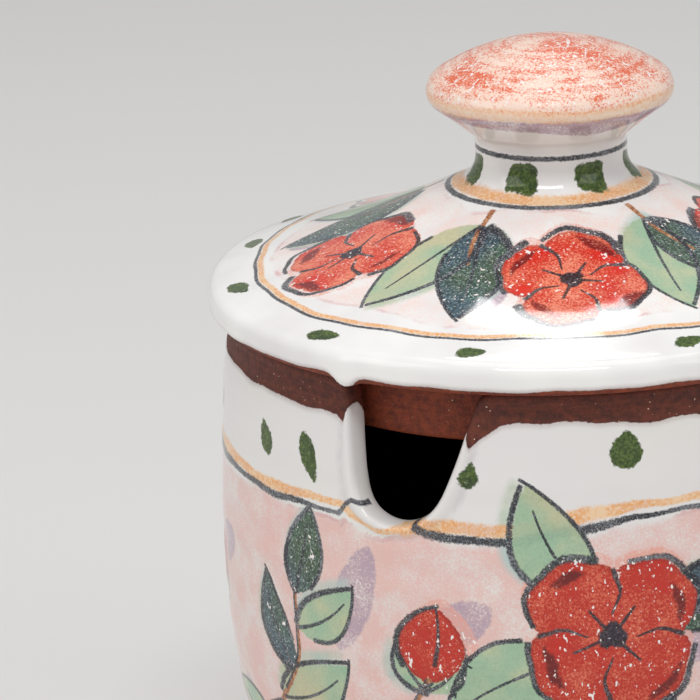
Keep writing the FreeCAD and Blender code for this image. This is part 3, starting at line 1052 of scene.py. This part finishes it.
# Poppies and pairs of leaves take turns round the cone, between the ring at the neck and the
# wavy ring near the edge.  Green dabs stand on the neck and on the edge, and the knob is washed
# red over an ochre line.
LID_RING = [
    (-180, 47.2), (-140, 46.6), (-100, 47.6), (-77, 46.4), (-49, 47.0), (-30, 47.8), (-10, 47.4),
    (10, 47.2), (26, 46.6), (45, 46.3), (60, 47.4), (90, 46.8), (140, 47.6)]
RIM_DABS = [(-77, 49.6, 3.0, 1.6), (-49, 50.8, 3.2, 1.6), (-16, 51.6, 3.0, 1.5),
            (12, 51.2, 2.4, 1.4), (49, 50.6, 2.8, 1.4)]
LID_MOTIFS = 5
FIRST_LID_MOTIF = 31  # degrees
LID_POPPY = 11.5
NECK_RADIUS = 12.6
NECK_DABS = 7
paint = Layers(lid.data, glaze=glaze, inside=np.zeros(len(co)))
flat = radius * np.exp(1j * turn)
cone = (height < 21) & ~under & (radius > 12.5)
painter = Painter(paint, flat, cone)
hand = np.random.default_rng(12)
ring = through(turn, LID_RING) + waves(turn, (0.2, 13, 0.0), (0.12, 29, 1.0))
neck_ring, out_ring = radius - 16.4, radius - ring - 0.5
lines = {
    "band": [(cone & (radius < 20), neck_ring, 0.5), (cone & (radius > 40), out_ring, 0.3),
             (~cone & (height > 22) & (height < 26), height - 24.9, 0.42)],
    "ochre": [(cone & (radius < 20), radius - 14.8 - waves(turn, (0.2, 3, 0.0)), 1.15),
              (cone & (radius > 40), radius - ring + 0.35, 0.5),
              (~cone & (height > 27), height - 33.2 - waves(turn, (0.2, 5, 1.0)), 1.0)],
}
for name, parts in lines.items():
    for where, side, half in parts:
        paint.ring(name, where, side, half, np.abs(side) < 3)
washed = np.minimum(radius - 17.4, ring - 3.0 - radius)
washed += waves(turn, (0.8, 5, 0.0), (0.4, 11, 1.0))
paint.values["pink"] = np.where(cone, washed, -FAR)
knob = height > 26
paint.values["blush"] = np.where(knob, height - 33.6 - waves(turn, (0.25, 4, 2.0)), -FAR)
crease_shade_and_mauve_swell = 1.4 * np.exp(-((turn - math.radians(48)) / 0.4) ** 2)
shaded = 0.9 + crease_shade_and_mauve_swell * 0.5 - np.abs(height - 31.5 + crease_shade_and_mauve_swell * 0.5)
paint.values["mauve"] = np.where(knob, shaded, -FAR)
for slot in range(LID_MOTIFS):
    middle = math.radians(FIRST_LID_MOTIF + 360 / LID_MOTIFS * slot)
    poppy(painter, hand.uniform(32.0, 34.0) * np.exp(1j * middle), LID_POPPY,
          hand.uniform(0, 6), 4 + slot % 2, hand)
    between = np.exp(1j * (middle - math.pi / LID_MOTIFS))
    for lean, tone in ((-0.4, "pale_leaf"), (0.36, "dark_leaf")):
        way = between * np.exp(1j * lean)
        leaf(painter, 21 * between, 21 * between + 22.5 * way, 5.6, 1.5 * lean, tone, hand)
    painter.line("stem", curve_through(18.5 * between, 24 * between * np.exp(0.02j),
                                       29 * between * np.exp(0.08j)), 0.5, 0.4)
    share = np.linspace(0, 1, 16)
    rib = between * np.exp(0.24j) * (26 + 16 * share)
    half = 4.0 * np.sin(math.pi * share) ** 0.6 * 1j * between
    painter.fill("mauve", closed(rib + half, rib - half))
for degrees, reach, length, half in RIM_DABS:
    way = np.exp(1j * math.radians(degrees))
    dab(painter, reach * way, length * 1j * way * np.exp(0.2j), half)
for degrees in np.arange(78, 270, 31):
    way = np.exp(1j * math.radians(degrees))
    dab(painter, hand.uniform(50, 51.2) * way, hand.uniform(2.2, 3.0) * 1j * way, 1.4)
neck = (height > 17.5) & (height < 27) & (radius < 16)
painter = Painter(paint, turn * NECK_RADIUS + 1j * height, neck, 2 * math.pi * NECK_RADIUS)
for degrees in 4 + 360 / NECK_DABS * np.arange(NECK_DABS):
    middle = math.radians((degrees + 180) % 360 - 180) * NECK_RADIUS
    rays = np.exp(1j * np.linspace(0, 2 * math.pi, 28, endpoint=False))
    square = np.maximum(np.abs(rays.real), np.abs(rays.imag)) ** 0.75
    shape = rays / square * (1 + 0.08 * np.sin(3 * np.angle(rays) + degrees))
    painter.fill("dab", middle + 21.8j + shape.real * 2.6 + 1j * shape.imag * 2.2)
paint.keep()

# The lit copy of the glaze colours: the same glaze as the pot's, given lighter here, while the
# pot's are darkened as painted shade.
lid.data.materials.clear()
lid.data.materials.append(painted_glaze(
    "painted_glaze_of_the_lid", white=(252, 251, 248), pink=(250, 219, 210), pink_cover=0.4,
    reds_used=((246, 150, 120), (216, 48, 28), (226, 34, 16), (132, 20, 16)), red_cover=0.64,
    clays=((150, 64, 34), (104, 40, 21), (168, 80, 44))))

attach(lid, "root")
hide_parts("lid")
